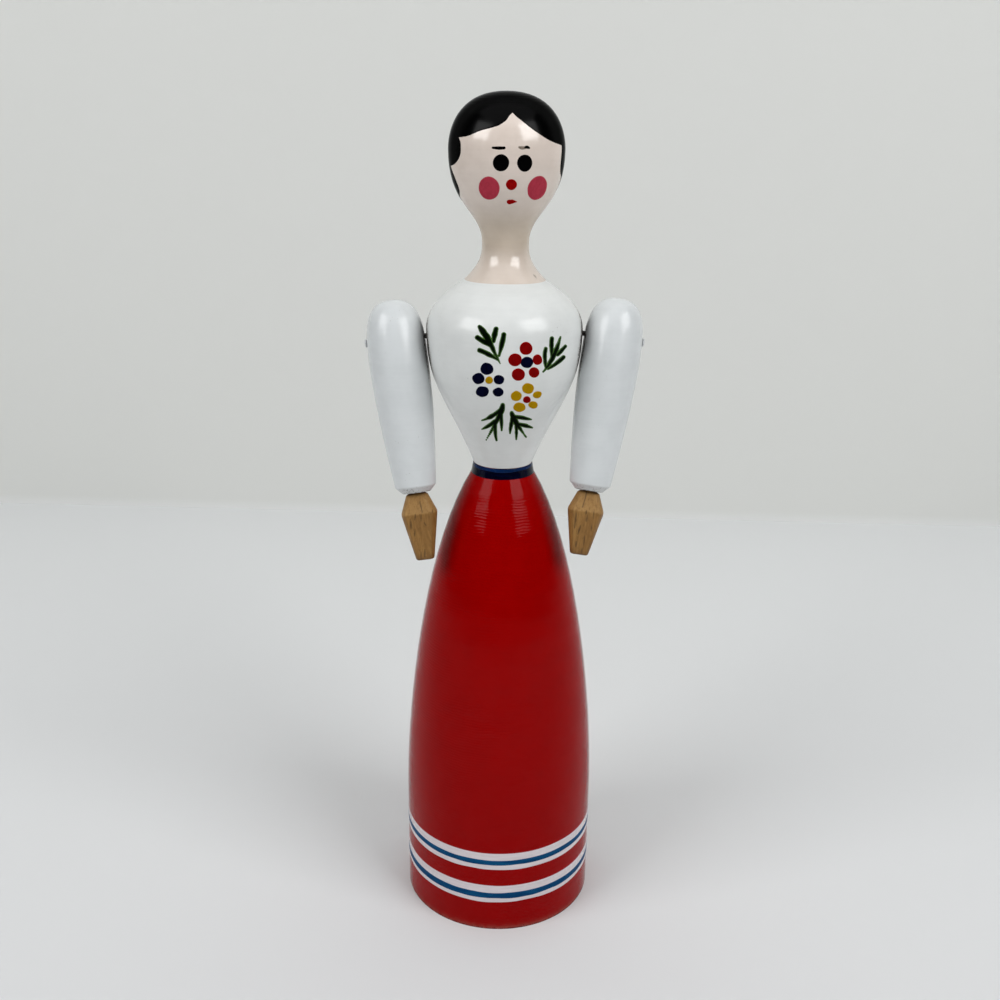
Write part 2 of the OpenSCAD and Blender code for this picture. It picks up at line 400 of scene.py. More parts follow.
def coat(name, on, turns, runs, inside, finish, lift, ease, cell):
    """A film of paint on a turning. inside(points, turn, run) is the depth within the film's edge."""
    around = turns[1] - turns[0] >= NEARLY_WHOLE_TURN
    widest = np.interp(np.linspace(*runs, WIDTH_TESTS), on.run, on.r).max()
    columns = math.ceil(math.radians(turns[1] - turns[0]) * widest / cell)
    rows = math.ceil((runs[1] - runs[0]) / cell) + 1
    turn_line = np.linspace(*turns, columns, endpoint=not around)
    turn, run = [g.ravel() for g in np.meshgrid(turn_line, np.linspace(*runs, rows))]
    skin = on.at(turn, run)
    depth = inside(skin, turn, run)
    points = on.at(turn, run, lift * np.tanh(depth / ease))
    quads = np.array(rows_of_faces(rows, columns))
    if not around:
        quads = quads[np.arange(len(quads)) % columns != columns - 1]
    quads = quads[depth[quads].max(1) > -FILM_SKIRT * ease]
    used, faces = np.unique(quads, return_inverse=True)
    faces = faces.reshape(-1, 4).tolist()
    return make_piece(
        name, points[used], faces, "body", finish, sharp=NEVER_SHARP,
        run=run[used], inner=np.clip(depth[used], 0, DEEP_INSIDE),
    )


class Dab:
    """An oval of paint, by its middle and half sizes in pixels of the photograph."""

    def __init__(self, x, y, wide, high=None, tilt=0.0):
        self.middle = np.array([x, y])
        self.half = np.array([wide, high or wide])
        self.tilt = math.radians(tilt)
        reach = self.half.max() + EDGE_ROOM_PX
        self.box = (x - reach, y - reach, x + reach, y + reach)

    def depth(self, pixels):
        d = pixels - self.middle
        c, s = math.cos(self.tilt), math.sin(self.tilt)
        q = np.stack([d[:, 0] * c + d[:, 1] * s, d[:, 1] * c - d[:, 0] * s], 1) / self.half
        slope = 2 * np.hypot(*(q / self.half).T) + 1e-6
        return np.minimum((1 - (q**2).sum(1)) / slope, self.half.min())


class Stroke:
    """A brush stroke through three pixels of the photograph, with half widths spread along it."""

    def __init__(self, points, halves):
        (x0, y0), (x1, y1), (x2, y2) = points
        t = np.linspace(0, 1, STROKE_STEPS)
        mid_x, mid_y = 2 * x1 - (x0 + x2) / 2, 2 * y1 - (y0 + y2) / 2
        self.x = x0 * (1 - t)**2 + 2 * mid_x * t * (1 - t) + x2 * t**2
        self.y = y0 * (1 - t)**2 + 2 * mid_y * t * (1 - t) + y2 * t**2
        self.half = np.interp(t, np.linspace(0, 1, len(halves)), halves)
        reach = max(halves) + EDGE_ROOM_PX
        self.box = (
            self.x.min() - reach, self.y.min() - reach, self.x.max() + reach, self.y.max() + reach
        )

    def depth(self, pixels):
        away = np.hypot(pixels[:, :1] - self.x, pixels[:, 1:] - self.y)
        return (self.half - away).max(1)


def painted(name, on, shapes, finish, *, seed, lift=0.06, ease=0.12, cell=0.11, waver=0.045):
    """Paints shapes given in the photograph's pixels onto a turning."""
    low_x, low_y = [min(s.box[i] for s in shapes) for i in (0, 1)]
    high_x, high_y = [max(s.box[i] for s in shapes) for i in (2, 3)]
    across = np.linspace(low_x, high_x, BOX_TESTS)
    down = np.linspace(low_y, high_y, BOX_TESTS)
    edge = [on.under(x, y) for x in across for y in down]
    turns = min(e[0] for e in edge), max(e[0] for e in edge)
    runs = min(e[1] for e in edge), max(e[1] for e in edge)

    def inside(skin, turn, run):
        pixels, size = pixels_of(skin)
        depth = np.max([s.depth(pixels) for s in shapes], axis=0)
        return depth * size + tremble(skin, waver, HAND_WAVE, seed)

    return coat(name, on, turns, runs, inside, finish, lift, ease, cell)


# Materials
NOISE_WAVE = 0.6
NOISE_ROUGHNESS = 0.55


class Finish:
    """A procedural material, built from noise that is fixed to the piece."""

    def __init__(self, name, roughness=0.3, specular=0.5, ior=1.5):
        self.material = bpy.data.materials.new(name)
        self.material.use_nodes = True
        self.tree = self.material.node_tree
        self.shader = self.tree.nodes["Principled BSDF"]
        self.place = self.tree.nodes.new("ShaderNodeTexCoord").outputs["Object"]
        self.shader.inputs["Roughness"].default_value = roughness
        self.shader.inputs["Specular IOR Level"].default_value = specular
        self.shader.inputs["IOR"].default_value = ior

    def node(self, kind, inputs=(), **settings):
        made = self.tree.nodes.new("ShaderNode" + kind)
        for key, value in settings.items():
            setattr(made, key, value)
        for key, value in dict(inputs).items():
            if isinstance(value, bpy.types.NodeSocket):
                self.tree.links.new(value, made.inputs[key])
            else:
                made.inputs[key].default_value = value
        return made

    def noise(self, size, detail, stretch=(1, 1, 1), lean=0.0, distort=0.0):
        """Noise with features about size millimetres wide, made longer along an axis by stretch."""
        turned = self.node("Mapping", {"Vector": self.place, "Rotation": (0, lean, 0)})
        scaled = self.node("Mapping", {
            "Vector": turned.outputs["Vector"], "Scale": [1 / s for s in stretch],
        })
        return self.node("TexNoise", {
            "Vector": scaled.outputs["Vector"], "Scale": NOISE_WAVE / (size * MM), "Detail": detail,
            "Roughness": NOISE_ROUGHNESS, "Distortion": distort,
        }).outputs["Fac"]

    def value(self, name):
        return self.node("Attribute", attribute_name=name).outputs["Fac"]

    def span(self, value, low, high, to_low=0.0, to_high=1.0):
        return self.node("MapRange", {
            "Value": value, "From Min": low, "From Max": high, "To Min": to_low, "To Max": to_high,
        }, interpolation_type="SMOOTHSTEP").outputs["Result"]

    def math(self, operation, a, b=0.0):
        return self.node("Math", {0: a, 1: b}, operation=operation).outputs[0]

    def mix(self, share, a, b):
        return self.node("Mix", {0: share, 6: a, 7: b}, data_type="RGBA").outputs[2]

    def tinted(self, tone, tints):
        """Tints the colour by height: each tint takes over from one height to another."""
        height = self.node("SeparateXYZ", {0: self.place}).outputs["Z"]
        tint = rgb(1, 1, 1)
        for start, end, colour in tints:
            tint = self.mix(self.span(height, start * MM, end * MM), tint, colour)
        return self.node(
            "Mix", {0: 1.0, 6: tone, 7: tint}, data_type="RGBA", blend_type="MULTIPLY",
        ).outputs[2]

    def bump(self, height, distance, under=None):
        inputs = {"Height": height, "Distance": distance * MM, "Strength": 1.0}
        if under:
            inputs["Normal"] = under
        return self.node("Bump", inputs).outputs["Normal"]

    def done(self, colour, roughness=None, normal=None):
        self.tree.links.new(colour, self.shader.inputs["Base Color"])
        if roughness:
            self.tree.links.new(roughness, self.shader.inputs["Roughness"])
        if normal:
            self.tree.links.new(normal, self.shader.inputs["Normal"])
        return self.material


def rgb(red, green, blue):
    return (red, green, blue, 1.0)


def enamel(name, colour, deeper, roughness, specular=0.5, *, ripple, ior=1.5, mottle=3.0,
           line=0.45, peel=0.001, specks=0.0, speck_colour=rgb(0.1, 0.06, 0.04),
           dirt_and_shade=None, dirt_and_shade_colour=rgb(0.16, 0.11, 0.07), matt_rim=False, tints=()):
    """Brushed or dipped gloss paint over turned wood."""
    f = Finish(name, roughness, specular, ior)
    cloud = f.noise(mottle, 4)
    streak = f.noise(0.5, 3, stretch=(14, 14, 1))
    both = f.math("ADD", f.math("MULTIPLY", cloud, 0.7), f.math("MULTIPLY", streak, 0.3))
    share = f.span(both, 0.38, 0.66)
    tone = f.mix(share, colour, deeper)
    if tints:
        tone = f.tinted(tone, tints)
    if specks:
        dots = f.span(f.noise(0.28, 1), 0.735, 0.78, 0, specks)
        here = f.span(f.noise(9, 2), 0.5, 0.62)
        tone = f.mix(f.math("MULTIPLY", dots, here), tone, speck_colour)
    dull = f.span(f.noise(1.6, 4), 0.3, 0.75, roughness * 0.94, roughness * 1.1)
    # Dark marks from an attribute: dirt, and on the blouse and sleeves also painted shade in the gaps at the
    # shoulders
    if dirt_and_shade:
        amount = f.value(dirt_and_shade)
        veil = f.math("MULTIPLY", f.span(amount, 0.0, 0.9), f.span(f.noise(1.2, 3), 0.3, 0.6, 0.05, 0.25))
        tone = f.mix(veil, tone, DUST)
        uneven = f.math("MULTIPLY", f.math("SUBTRACT", f.noise(0.26, 4), 0.5), 2.6)
        darkened = f.span(f.math("ADD", amount, uneven), 0.62, 0.95)
        tone = f.mix(darkened, tone, dirt_and_shade_colour)
        dull = f.math("ADD", dull, f.math("MULTIPLY", darkened, 0.35))
    normal = f.bump(f.noise(0.9, 2), peel)
    if ripple:
        phase = f.math("MULTIPLY", f.value("run"), 2 * math.pi / line)
        bent = f.math("ADD", phase, f.math("MULTIPLY", f.noise(2.5, 2), 9.0))
        strength = f.span(f.noise(6, 2, stretch=(3, 3, 1)), 0.35, 0.7, 0.15, 1.0)
        normal = f.bump(f.math("MULTIPLY", f.math("SINE", bent), strength), ripple, normal)
    if matt_rim:
        facing = f.node("LayerWeight").outputs["Facing"]
        f.tree.links.new(f.span(facing, 0.15, 0.6, specular, 0.03), f.shader.inputs["Specular IOR Level"])
    return f.done(tone, dull, normal)


def hand_paint(name, colour, deeper, edge=None, edge_in=0.12, roughness=0.3, ior=1.08,
               stretch=(1, 1, 2.5), ridge=0.006):
    """Folk paint laid on with a small brush: uneven in tone, thinner at its edge."""
    f = Finish(name, roughness, ior=ior)
    brushed = f.noise(0.5, 3, stretch=stretch, distort=0.4)
    tone = f.mix(f.span(brushed, 0.36, 0.66), colour, deeper)
    if edge:
        rim = f.span(f.math("ADD", f.value("inner"), f.math("MULTIPLY", f.noise(0.5, 2), 0.1)),
                     edge_in * 0.5 + 0.05, edge_in * 1.6 + 0.05, 1.0, 0.0)
        tone = f.mix(rim, tone, edge)
    dull = f.span(f.noise(0.8, 3), 0.3, 0.7, roughness * 0.75, roughness * 1.4)
    normal = f.bump(f.noise(0.35, 3, stretch=stretch), ridge)
    return f.done(tone, dull, normal)


RED = rgb(0.285, 0.0002, 0.0003)
RED_DEEP = rgb(0.268, 0.0001, 0.0002)
WHITE = rgb(0.745, 0.765, 0.755)
WHITE_DEEP = rgb(0.715, 0.735, 0.725)
SLEEVE_WHITE = rgb(0.67, 0.70, 0.71)
SLEEVE_DEEP = rgb(0.64, 0.67, 0.68)
SKIN = rgb(0.70, 0.61, 0.545)
SKIN_DEEP = rgb(0.665, 0.575, 0.51)
NAVY = rgb(0.0004, 0.0014, 0.0160)
NAVY_DEEP = rgb(0.0002, 0.0007, 0.0090)
BLACK = rgb(0.0006, 0.0006, 0.0007)
BLACK_DEEP = rgb(0.0003, 0.0003, 0.0004)
DUST = rgb(0.40, 0.33, 0.25)


def beech(name, lean):
    """Bare handled beech: straight grain down the hand, dark flecks, a darker worn lower edge, darker at the
    top under the cuff as wear and painted shade, and its upper facet painted lighter as painted light.
    """
    f = Finish(name, 0.5, 0.3)
    grain = f.noise(0.3, 4, stretch=(1, 1, 18), lean=lean, distort=0.2)
    broad = f.noise(2.0, 3, stretch=(1, 1, 3), lean=lean)
    tone = f.mix(f.span(grain, 0.35, 0.68), rgb(0.30, 0.158, 0.044), rgb(0.225, 0.110, 0.028))
    tone = f.mix(f.span(broad, 0.42, 0.68, 0, 0.55), tone, rgb(0.17, 0.079, 0.019))
    # Painted light: the hand's upper facet, which faces the light, is made lighter
    tone = f.mix(f.math("MULTIPLY", f.value("facet"), 0.45), tone, rgb(0.46, 0.275, 0.100))
    rays = f.noise(0.35, 3, stretch=(1, 1, 2.2), lean=lean)
    tone = f.mix(f.span(rays, 0.52, 0.68, 0, 0.4), tone, rgb(0.13, 0.060, 0.015))
    pores = f.noise(0.22, 1.5, stretch=(0.8, 0.8, 9), lean=lean + math.radians(4))
    tone = f.mix(f.span(pores, 0.66, 0.72, 0, 0.4), tone, rgb(0.075, 0.036, 0.012))
    tone = f.mix(f.math("MULTIPLY", f.value("fleck"), 0.7), tone, rgb(0.045, 0.022, 0.007))
    # Dark worn bottom edge, and a dark top next to the cuff: wear there and painted shade
    worn = f.math("MULTIPLY", f.value("worn"), f.span(f.noise(0.8, 3), 0.3, 0.6, 0.45, 1.0))
    tone = f.mix(worn, tone, rgb(0.06, 0.028, 0.012))
    dull = f.math("SUBTRACT", f.span(grain, 0.3, 0.7, 0.45, 0.62), f.math("MULTIPLY", worn, 0.15))
    normal = f.bump(grain, 0.02)
    normal = f.bump(f.value("fleck"), -0.05, normal)
    return f.done(tone, dull, normal)


PIN_HEAD_FROM = 34.0
PIN_PAINT_SOFT = 0.6


def pin_metal():
    """A wire nail whose shaft is painted near black, partly as painted shade in the gap between sleeve and
    torso, and whose head is painted over with the sleeve's white.
    """
    f = Finish("pin_steel", 0.42)
    from_middle = f.math("ABSOLUTE", f.node("SeparateXYZ", {0: f.place}).outputs["X"])
    head_paint = f.span(from_middle, PIN_HEAD_FROM * MM, (PIN_HEAD_FROM + PIN_PAINT_SOFT) * MM)
    smear = f.math("MULTIPLY", head_paint, f.span(f.noise(0.5, 4), 0.2, 0.4, 0.6, 1.0))
    # Near-black shaft: dark steel, and painted shade in the shoulder gap
    tone = f.mix(smear, rgb(0.035, 0.028, 0.022), rgb(0.64, 0.66, 0.67))
    normal = f.bump(f.noise(0.2, 3), 0.02)
    return f.done(tone, f.span(f.noise(0.3, 3), 0.3, 0.7, 0.3, 0.55), normal)


# The trunk's three turnings
FINE = 0.4
EDGE_FILLET = 0.22
FILM_ROOM = 0.1
waist_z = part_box("skirt")[1].z / MM
neckline_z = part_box("torso")[1].z / MM

skirt_side = smooth_side(turned_rings("skirt", TRUNK_AXIS), FINE, EDGE_FILLET)
torso_side = smooth_side(turned_rings("torso", TRUNK_AXIS, waist_z, neckline_z), FINE, EDGE_FILLET)
head_side = smooth_side(turned_rings("head", TRUNK_AXIS, neckline_z), FINE, EDGE_FILLET)
skirt = Turning(skirt_side, film_room=FILM_ROOM)
torso = Turning(torso_side, film_room=FILM_ROOM)
head = Turning(head_side, film_room=FILM_ROOM)
upper = Turning(np.concatenate([torso_side, head_side[1:]]), film_room=FILM_ROOM)

red_enamel = enamel("red_enamel", RED, RED_DEEP, 0.07, ior=1.15, ripple=0.018, line=0.8, specks=0.25,
                    speck_colour=rgb(0.12, 0.001, 0.001), dirt_and_shade="scuff", dirt_and_shade_colour=rgb(0.13, 0.01, 0.012))
# The blouse's near-black mark colour is dirt, and painted shade in the gaps beside the arms
white_enamel = enamel("white_enamel", WHITE, WHITE_DEEP, 0.22, 0.4, ripple=0.0002, peel=0.0005, specks=0.3,
                      dirt_and_shade="grime", dirt_and_shade_colour=rgb(0.02, 0.015, 0.012))
# Painted light and shade on the face: paler at the brow as painted light, darker and yellower under the chin
# as painted shade, plain again down the neck
SKIN_PAINTED_LIGHT_AND_SHADE = [
    (209, 219, rgb(1.10, 1.10, 1.10)),
    (205, 196, rgb(0.80, 0.77, 0.69)),
    (195, 187, rgb(1.0, 1.0, 0.98)),
]
skin_enamel = enamel("skin_enamel", SKIN, SKIN_DEEP, 0.17, 0.72, ripple=0.0005, mottle=2.2,
                     tints=SKIN_PAINTED_LIGHT_AND_SHADE)

ARM_SPOTS = [arm_axis(n) for n in ("left_shoulder", "right_shoulder")]
# A near-black spot on the blouse beside each arm: dirt, and painted shade in the gap between blouse and
# sleeve
DARK_SPOT_WIDE = 7.0
DARK_SPOT_HIGH = 10.5
DARK_SPOT_MIDDLE = -2.0
DARK_SPOT_PEAK = 1.7
DARK_SPOT_FALL = 1.5
MOST_DIRT_AND_SHADE = 1.2
SIDE_FROM_X = 10
BASE_SCUFF = 0.9
FOOT_BAND = 1.5


def foot_scuffs(own):
    """The skirt's foot is knocked along its lower edge."""
    edge = np.hypot(own[:, 0], own[:, 1]) - skirt.r[0]
    near = np.exp(-np.clip(own[:, 2], 0, None) / BASE_SCUFF) * (edge > -FOOT_BAND)
    return {"scuff": np.clip(near, 0, 1)}


def shoulder_dirt_and_gap_shade(own):
    """The blouse is darkened near black where the arms swing against it: partly dirt, partly painted shade
    in the gap between blouse and sleeve.
    """
    rubbed = np.zeros(len(own))
    for spot in ARM_SPOTS:
        own_spot = spot.own(own)
        away = np.hypot(own_spot[:, 1] / DARK_SPOT_WIDE, (own_spot[:, 2] - DARK_SPOT_MIDDLE) / DARK_SPOT_HIGH)
        same_side = own[:, 0] * spot.out[0] > SIDE_FROM_X
        dirt_and_shade = np.clip(DARK_SPOT_PEAK - DARK_SPOT_FALL * away**2, 0, MOST_DIRT_AND_SHADE)
        rubbed = np.maximum(rubbed, dirt_and_shade * same_side)
    return {"grime": rubbed}


for node, turning, columns, finish, marks in (
    ("skirt", skirt, 288, red_enamel, foot_scuffs),
    ("torso", torso, 256, white_enamel, shoulder_dirt_and_gap_shade),
    ("head", head, 240, skin_enamel, None),
):
    turned_piece(f"{node}_turning", node, turning, columns, "body", finish, marks=marks)

# Bands round the trunk: lower and upper edges as heights
WHITE_STRIPES = [(20.38, 25.8), (9.36, 15.02)]
BLUE_LINES = [(21.84, 23.62), (10.62, 12.69)]
WAISTBAND_LOW = 131.15
WAIST_SHEEN_DEPTH = 1.1
NECKLINE_TOP = 183.6
NECKLINE_BELOW = 2
PAST_TOP = 5
WHOLE_TURN = -180, 180
RING_PAD = 5
RING_CELL = 0.2
LOW_WAVE = 9
HIGH_WAVE = 14


def ring_coat(name, on, low, high, finish, *, lift, waver, seed, soft_low=0.0, ease=0.1):
    """A painted ring whose two edges waver a little, as they do when the doll turns under the brush."""
    low_run, high_run = on.run_at(low), on.run_at(high)
    pad = RING_PAD * ease

    def inside(skin, turn, run):
        flat = skin * [1, 1, 0]
        under = run - low_run - tremble(flat, waver * (1 + soft_low), LOW_WAVE, seed)
        over = high_run - run - tremble(flat, waver, HIGH_WAVE, seed + 1)
        return np.minimum(under, over)

    runs = max(low_run - pad, on.run[0]), min(high_run + pad, on.run[-1])
    return coat(name, on, WHOLE_TURN, runs, inside, finish, lift, ease, RING_CELL)


ROUND_BRUSH = (9, 9, 1)
stripe_white = hand_paint("stripe_white", rgb(0.73, 0.67, 0.695), rgb(0.67, 0.61, 0.635),
                          edge=rgb(0.58, 0.44, 0.50), edge_in=0.1, roughness=0.22, ior=1.3,
                          stretch=ROUND_BRUSH, ridge=0.003)
stripe_blue = hand_paint("stripe_blue", rgb(0.005, 0.075, 0.19), rgb(0.003, 0.045, 0.135),
                         edge=rgb(0.04, 0.15, 0.27), edge_in=0.12, stretch=ROUND_BRUSH, ridge=0.003)
band_navy = hand_paint("band_navy", rgb(0.0003, 0.0012, 0.012), rgb(0.0002, 0.0005, 0.006),
                       roughness=0.18, ior=1.25, stretch=ROUND_BRUSH, ridge=0.003)
# Painted sheen: a lighter blue for the top of the waistband
band_painted_sheen = hand_paint("band_painted_sheen", rgb(0.004, 0.020, 0.085), rgb(0.002, 0.012, 0.05),
                       roughness=0.22, ior=1.2, stretch=ROUND_BRUSH, ridge=0.003)
neck_white = enamel("neckline_white", WHITE, WHITE_DEEP, 0.22, 0.4, ripple=0.0002, peel=0.0005)

for i, (low, high) in enumerate(WHITE_STRIPES):
    ring_coat(f"white_stripe_{i + 1}", skirt, low, high, stripe_white,
              lift=0.05, waver=0.05, seed=20 + i, soft_low=0.6)
for i, (low, high) in enumerate(BLUE_LINES):
    ring_coat(f"blue_line_{i + 1}", skirt, low, high, stripe_blue, lift=0.085, waver=0.06, seed=30 + i)
band_top = waist_z + PAST_TOP
ring_coat("waistband", skirt, WAISTBAND_LOW, band_top, band_navy, lift=0.05, waver=0.04, seed=40)
# The top of the waistband painted lighter blue as a painted sheen
ring_coat("waist_painted_sheen", skirt, waist_z - WAIST_SHEEN_DEPTH, band_top, band_painted_sheen, lift=0.06, waver=0.07, seed=41)
ring_coat("neckline", upper, neckline_z - NECKLINE_BELOW, NECKLINE_TOP, neck_white,
          lift=0.04, waver=0.06, seed=45, ease=0.35)

# Hair: its painted edge in pixels of the photograph, and a guess round the back
FRINGE_PEAK = (512.6, 112.7)
FRINGE_RIGHT = [
    FRINGE_PEAK, (509.6, 115.6), (506.3, 120.2), (502.2, 123.4), (497.2, 126.1), (488.7, 128.5),
    (480, 130.9), (473.3, 133.8), (466.6, 136.3), (458.9, 137.4),
]
LOCK_RIGHT = [
    (458.9, 137.4), (460.4, 141.9), (460.9, 147.8), (460.4, 154.3), (458.0, 160.1), (454.3, 164.3),
    (450.8, 165.9),
]
STRIP_RIGHT = [(450.8, 165.9), (454.1, 175.4), (457.5, 184.0), (459.7, 191.7), (460.3, 199.5)]
FRINGE_LEFT = [
    FRINGE_PEAK, (516.3, 116.5), (523.0, 121.8), (530.7, 128.0), (538.3, 133.3), (546.0, 138.5),
    (553.7, 142.4), (561.6, 145.5),
]
STRIP_LEFT = [(561.6, 145.5), (561.5, 152.4), (560.7, 162.0), (560.2, 171.6), (560.5, 179.8)]
NAPE_Z = 201.5
NAPE_TURN = 112
NAPE_LEVEL_TURN = 150
NAPE_DIP = 0.6
NAPE_ROOM = 3
ARC_PIECES = 14


def rounded_line(points):
    """A smooth line through points, which passes through each of them."""
    p = np.array(points, float)
    p = np.concatenate([[2 * p[0] - p[1]], p, [2 * p[-1] - p[-2]]])
    t = np.linspace(0, 1, ARC_PIECES, endpoint=False)[:, None]
    out = []
    for a, b, c, d in zip(p, p[1:], p[2:], p[3:]):
        out.append(0.5 * (2 * b + (c - a) * t + (2 * a - 5 * b + 4 * c - d) * t**2
                          + (3 * b - a - 3 * c + d) * t**3))
    return np.concatenate(out + [p[-2:-1]])


def paint_hair(finish):
    arcs = [
        [head.under(*p) for p in arc]
        for arc in (STRIP_RIGHT[::-1], LOCK_RIGHT[::-1], FRINGE_RIGHT[::-1], FRINGE_LEFT, STRIP_LEFT)
    ]
    nape = float(head.run_at(NAPE_Z))
    behind_left = [(NAPE_TURN, nape + NAPE_DIP), (NAPE_LEVEL_TURN, nape), (180, nape)]
    behind_right = [(-turn, run) for turn, run in behind_left[::-1]] + [arcs[0][0]]
    behind_left.insert(0, arcs[-1][-1])
    edge = np.concatenate([rounded_line(a) for a in (behind_right, *arcs, behind_left)])
    rim = head.at(edge[:, 0], edge[:, 1])
    tree = KDTree(len(rim))
    for i, p in enumerate(rim):
        tree.insert(p, i)
    tree.balance()
    loop = np.concatenate([edge, [(180, FAR), (-180, FAR)]])

    def inside(skin, turn, run):
        away = np.array([tree.find(p)[2] for p in skin])
        odd = np.zeros(len(turn), bool)
        for (t0, s0), (t1, s1) in zip(loop, np.roll(loop, -1, axis=0)):
            if t0 != t1:
                crossed = ((t0 > turn) != (t1 > turn)) & (run > s0 + (turn - t0) * (s1 - s0) / (t1 - t0))
                odd ^= crossed
        return np.where(odd, away, -away)

    runs = nape - NAPE_ROOM, head.run[-1]
    coat("hair", head, WHOLE_TURN, runs, inside, finish, lift=0.07, ease=0.14, cell=0.17)


hair_black = enamel("hair_black", BLACK, BLACK_DEEP, 0.19, ior=1.17, ripple=0.002, peel=0.002,
                    matt_rim=True)
paint_hair(hair_black)

# Face, in pixels of the photograph
EYES = [Dab(501.0, 162.8, 8.15, 8.55), Dab(524.7, 163.1, 7.55, 8.55)]
BROW_RIGHT = [Stroke([(492.7, 147.7), (498.5, 148.1), (504.2, 147.9)], (1.25, 1.8, 1.5))]
BROW_LEFT_FRESH = [Stroke([(525.2, 147.5), (527.2, 147.3), (529.2, 148.0)], (1.2, 1.6, 0.9))]
BROW_LEFT_WORN = [Stroke([(519.4, 147.4), (522.2, 148.0), (526.4, 147.6)], (1.1, 1.9, 1.3))]
CHEEKS = [Dab(489.1, 188.1, 10.5, 11.7, tilt=-12), Dab(537.2, 187.9, 9.2, 12.5, tilt=24)]
NOSE = [Dab(511.4, 184.6, 5.55)]
MOUTH = [
    Dab(509.7, 202.0, 2.9, 2.35),
    Stroke([(508.4, 202.2), (512.0, 201.6), (516.6, 201.9)], (1.4, 2.2, 0.55)),
]
NECK_SCUFF = [Stroke([(533.6, 274.8), (535.6, 277.0), (537.0, 279.4)], (0.5, 0.8, 0.4))]

face_black = hand_paint("face_black", BLACK, BLACK_DEEP)
face_worn = hand_paint("face_worn", rgb(0.15, 0.12, 0.095), rgb(0.27, 0.22, 0.18),
                       edge=rgb(0.36, 0.31, 0.26))
scuff_grey = hand_paint("scuff_grey", rgb(0.36, 0.31, 0.25), rgb(0.46, 0.40, 0.34),
                        edge=rgb(0.52, 0.46, 0.41))
face_pink = hand_paint("face_pink", rgb(0.42, 0.035, 0.062), rgb(0.36, 0.030, 0.053),
                       edge=rgb(0.44, 0.075, 0.10), roughness=0.35, ior=1.15)
face_red = hand_paint("face_red", rgb(0.29, 0.0008, 0.0008), rgb(0.21, 0.0006, 0.0006),
                      edge=rgb(0.36, 0.004, 0.004))
painted("eyes", head, EYES, face_black, waver=0.02, seed=2)
painted("brow_right", head, BROW_RIGHT, face_black, lift=0.04, waver=0.03, seed=3)
painted("brow_left", head, BROW_LEFT_FRESH, face_black, lift=0.05, waver=0.03, seed=4)
painted("brow_left_worn", head, BROW_LEFT_WORN, face_worn, lift=0.025, waver=0.05, seed=5)
painted("cheeks", head, CHEEKS, face_pink, lift=0.05, waver=0.03, seed=6)
painted("nose", head, NOSE, face_red, lift=0.07, waver=0.02, seed=7)
painted("mouth", head, MOUTH, face_red, lift=0.05, waver=0.03, seed=8)
painted("neck_scuff", upper, NECK_SCUFF, scuff_grey, lift=0.015, waver=0.06, seed=9)

# Flowers on the blouse, in pixels of the photograph
RED_PETALS = [
    Dab(526.2, 348.4, 6.5, 6.5), Dab(514.9, 359.9, 6.9, 6.6), Dab(518.4, 374.5, 6.6, 6.3),
    Dab(534.1, 372.4, 5.2, 5.2), Dab(537.6, 359.8, 4.7, 5.4),
]
RED_MIDDLE = [Dab(526.9, 362.4, 6.4, 5.6)]
BLUE_PETALS = [
    Dab(486.9, 368.8, 6.5, 6.1), Dab(478.4, 378.5, 6.1, 5.6), Dab(482.4, 391.6, 6.5, 5.4),
    Dab(498.2, 392.1, 5.4, 4.5), Dab(498.8, 379.7, 5.3, 4.7),
]
BLUE_MIDDLE = [Dab(489.1, 380.4, 3.8)]
YELLOW_PETALS = [
    Dab(528.0, 388.4, 6.1, 5.4), Dab(516.1, 396.2, 5.6, 5.0), Dab(519.4, 407.2, 6.1, 4.9),
    Dab(533.0, 404.9, 4.7, 3.7), Dab(537.3, 394.7, 4.5, 3.6, tilt=-20),
]
YELLOW_MIDDLE = [Dab(527.0, 399.8, 4.1, 3.4)]

petal_red = hand_paint("petal_red", rgb(0.21, 0.0006, 0.0008), rgb(0.165, 0.0004, 0.0006),
                       edge=rgb(0.36, 0.008, 0.006))
petal_blue = hand_paint("petal_blue", NAVY, NAVY_DEEP, edge=rgb(0.003, 0.009, 0.035), edge_in=0.08)
petal_yellow = hand_paint("petal_yellow", rgb(0.42, 0.24, 0.001), rgb(0.37, 0.205, 0.0008),
                          edge=rgb(0.48, 0.28, 0.006))
leaf_green = hand_paint("leaf_green", rgb(0.0010, 0.0042, 0.0008), rgb(0.0004, 0.0018, 0.0004),
                        edge=rgb(0.06, 0.13, 0.03), edge_in=0.2)
painted("red_petals", torso, RED_PETALS, petal_red, lift=0.09, seed=11)
painted("red_flower_middle", torso, RED_MIDDLE, petal_blue, lift=0.13, seed=12)
painted("blue_petals", torso, BLUE_PETALS, petal_blue, lift=0.09, seed=13)
painted("blue_flower_middle", torso, BLUE_MIDDLE, petal_yellow, lift=0.13, seed=14)
painted("yellow_petals", torso, YELLOW_PETALS, petal_yellow, lift=0.09, seed=15)
painted("yellow_flower_middle", torso, YELLOW_MIDDLE, petal_red, lift=0.13, seed=16)


